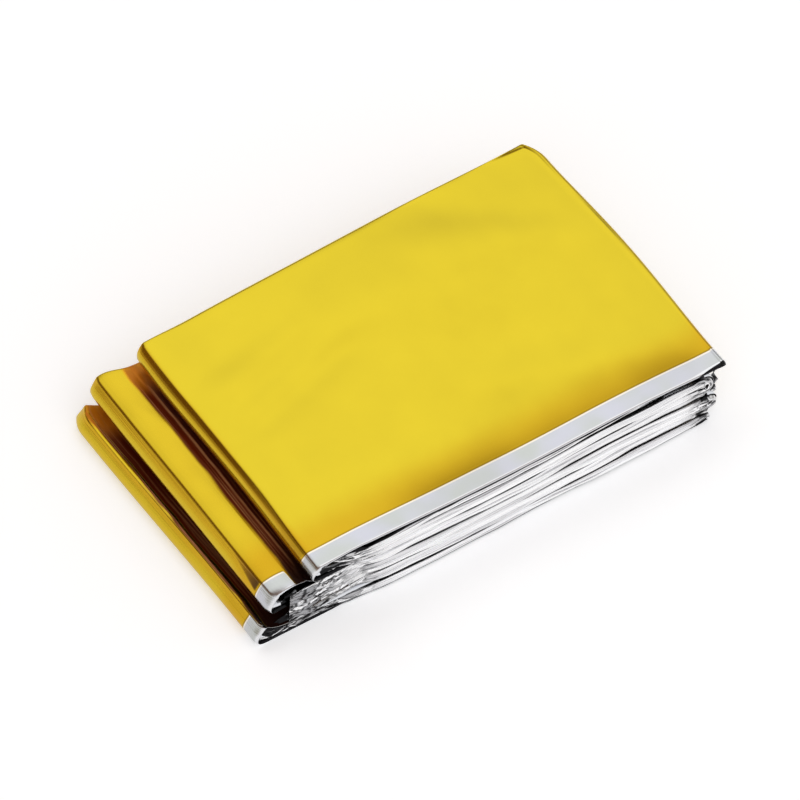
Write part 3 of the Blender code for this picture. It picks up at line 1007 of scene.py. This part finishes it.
points[..., 2] = np.maximum(points[..., 2], FLOOR_ROOM)
print("crumples up to", round(float(rough.max()), 2), "mm deep")

# %% The plies
film_map, plies_girth = film_places(points)
values = {"depth": ply_shade(depth, height, hollow, x), "crush": rough / CRUMPLE}
plies = sheet_mesh("silver_plies", points, film_map, values, flip=True)
plies.data.materials.append(silver)
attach(plies, "root")
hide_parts("foil_blanket")
print("plies:", len(plies.data.polygons) * 2, "triangles, area", round(flat_area(plies), 4),
      "of", round(strip_length * plies_girth * 1e-6, 4))

# %% [markdown]
# # 8. Crumpled corners
# Where the folds press on each other, the film's loose corners are crushed into small sharp dents. A
# cloth simulation would give soft ones at this size, so each corner is a small sheet of its own, a
# flat patch that is pushed in and out by folded ripples, with its edges tucked away.

# %% Patches
# Corners of each patch in the panel's frame, mm: lower left, lower right, upper left, upper right;
# then its steps across and up, the depth and the length of its dents, how much painted shade lies
# in them, how much they fade towards the right, and a seed.
Patch = namedtuple("Patch", "name corners across up depth dent dark fade seed")
LEFT_CORNERS = ((-75.5, -45.0, 3.2), (-44.0, -44.2, 4.2), (-73.5, -43.2, 12.6), (-44.0, -43.8, 12.8))
TIP_CORNERS = ((-82.6, -43.6, 1.0), (-70.0, -43.4, 1.2), (-81.6, -43.2, 4.2), (-70.0, -43.0, 6.0))
RIGHT_CORNERS = ((56.0, -47.4, 4.0), (61.5, -45.4, 5.0), (56.0, -47.8, 15.0), (62.0, -45.6, 15.0))
PATCHES = [
    Patch("crumple_left", LEFT_CORNERS, 240, 96, 0.65, 1.3, 0.6, 0.8, 11),
    Patch("crumple_tip", TIP_CORNERS, 60, 34, 0.9, 2.0, 3.2, 0.0, 12),
    Patch("crumple_right", RIGHT_CORNERS, 44, 90, 1.2, 2.2, 2.0, 0.0, 13),
]
FADE_START = (0.30, 0.45)  # the fade's ramp, in shares of the patch
TUCK = 0.8  # how deep its edges are tucked in, as a share of the dents' depth
PATCH_FLOOR = 0.2  # mm left under it


# %% Crushed patches
def crushed(patch):
    """A patch: between its corners by their shares, in and out by two sizes of folded ripples that
    are drawn out along it, and tucked in over an eighth and a sixth of it at its edges."""
    u = np.linspace(0.0, 1.0, patch.across)[None, :, None]
    w = np.linspace(0.0, 1.0, patch.up)[:, None, None]
    a, b, c, d = (np.array(corner) for corner in patch.corners)
    flat = (1 - u) * (1 - w) * a + u * (1 - w) * b + (1 - u) * w * c + u * w * d
    across = np.linalg.norm(flat[:, -1] - flat[:, 0], axis=1).mean() * u[..., 0] + 0.0 * w[..., 0]
    up = np.linalg.norm(flat[-1] - flat[0], axis=1).mean() * w[..., 0] + 0.0 * u[..., 0]
    coarse = crumple(across * 0.20, up, patch.seed, patch.dent)
    fine = crumple(across * 0.26, up, patch.seed + 50, patch.dent * 0.45)
    keep = 1.0 - patch.fade * ramp(u[..., 0], *FADE_START)
    height = (coarse + 0.4 * fine) * keep
    normal = np.cross(b - a, c - a)
    normal /= np.linalg.norm(normal)
    rim = (smooth(np.minimum(u, 1 - u) * 8) * smooth(np.minimum(w, 1 - w) * 6))[..., 0]
    points = flat + normal * (patch.depth * (height * rim - TUCK * (1.0 - rim)))[..., None]
    points[..., 0] += 0.3 * patch.depth * crumple(across, up, patch.seed + 90, patch.dent)
    points[..., 2] += 0.3 * patch.depth * crumple(up, across, patch.seed + 70, patch.dent)
    points[..., 2] = np.maximum(points[..., 2], PATCH_FLOOR)
    # Painted shade: dark in the dents' hollows, lighter on their peaks.
    values = {"depth": patch.dark - 3.0 * height, "crush": keep}
    film_map = np.stack([across, up], axis=2)
    piece = sheet_mesh(patch.name, points - [*FOOT_CENTRE, 0.0], film_map, values)
    piece.data.materials.append(silver)
    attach(piece, "root")
    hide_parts("foil_blanket")
    print(patch.name, len(piece.data.polygons) * 2, "triangles, crushed to",
          round(float(across.max() * up.max() * MM * MM / flat_area(piece)), 2), "of its area")
    return piece


corners = [crushed(patch) for patch in PATCHES]

# %% [markdown]
# # 9. Floor and light
# A plain white floor and one large soft box above. Film shows what is round it, so the box reaches
# down to a third of the way to the horizon and the room below it is dark: that draws the dark line
# along each crease. The room is worked out by direction, so no lamp has to be placed.

# %% Floor
FLOOR = 4.0  # metres from the middle to each side
FLOOR_GLOW = 0.40
FLOOR_WHITE = (0.90, 0.915, 0.925, 1.0)
floor_corners = [(x * FLOOR, y * FLOOR, 0.0) for x, y in ((-1, -1), (1, -1), (1, 1), (-1, 1))]
floor_mesh = bpy.data.meshes.new("floor")
floor_mesh.from_pydata(floor_corners, [], [(0, 1, 2, 3)])
floor = bpy.data.objects.new("floor", floor_mesh)
bpy.context.scene.collection.objects.link(floor)
floor_book = Book("floor")
floor_book.plug(floor_book.shader, {"Base Color": FLOOR_WHITE, "Roughness": 1.0,
                                    "Specular IOR Level": 0.0, "Emission Color": (1.0, 1.0, 1.0, 1.0),
                                    "Emission Strength": FLOOR_GLOW})
floor.data.materials.append(floor_book.material)
print("floor", 2 * FLOOR, "m square")

# %% The room
SOFT_BOX = (1.50, 1.50, 1.49, 1.0)
BOX_RIM = (1.08, 1.08, 1.07, 1.0)
DARK_WALL = (0.20, 0.115, 0.075, 1.0)
LOW_WALL = (0.62, 0.58, 0.50, 1.0)  # its foot is lighter
LOW_EDGE = (0.16, 0.30)
RIGHT_WALL = (0.40, 0.39, 0.38, 1.0)
FRONT_WALL = (1.0, 1.0, 1.02, 1.0)
FRONT_EDGE = (-0.5, 0.05)
BOX_LEAN = 0.25  # how much further down the box reaches on the right
BOX_EDGE = (0.50, 0.62)  # sine of the elevation at which the box ends
BOX_FRONT = (0.10, 0.51)  # and how far it reaches towards the front
BOX_GLOW = (0.60, 1.00)  # it is brightest in the middle
RIGHT_REACH = (0.60, 0.80)

world = bpy.data.worlds.new("studio")
world.use_nodes = True
book = Book(None, world.node_tree, "Background")
direction = {0: book.add("ShaderNodeTexCoord", output="Generated")}
x, y, z = (book.add("ShaderNodeSeparateXYZ", None, direction, axis) for axis in "XYZ")
leaning = z + x * BOX_LEAN
room = book.mix(book.step(z, *LOW_EDGE), LOW_WALL, DARK_WALL)
room = book.mix(book.step(x, *RIGHT_REACH), room, RIGHT_WALL)
room = book.mix(book.step(y, *FRONT_EDGE, 1.0, 0.0), room, FRONT_WALL)
box = book.mix(book.step(leaning, *BOX_GLOW), BOX_RIM, SOFT_BOX)
in_box = book.step(leaning, *BOX_EDGE) * book.step(y, *BOX_FRONT)
book.plug(book.shader, {"Color": book.mix(in_box, room, box), "Strength": 1.0})
bpy.context.scene.world = world
print("room:", len(world.node_tree.nodes), "nodes")

# %% View
scene = bpy.context.scene
scene.view_settings.view_transform = "Standard"
scene.view_settings.look = "None"
scene.cycles.glossy_bounces = 12
scene.cycles.max_bounces = 16
scene.cycles.diffuse_bounces = 3
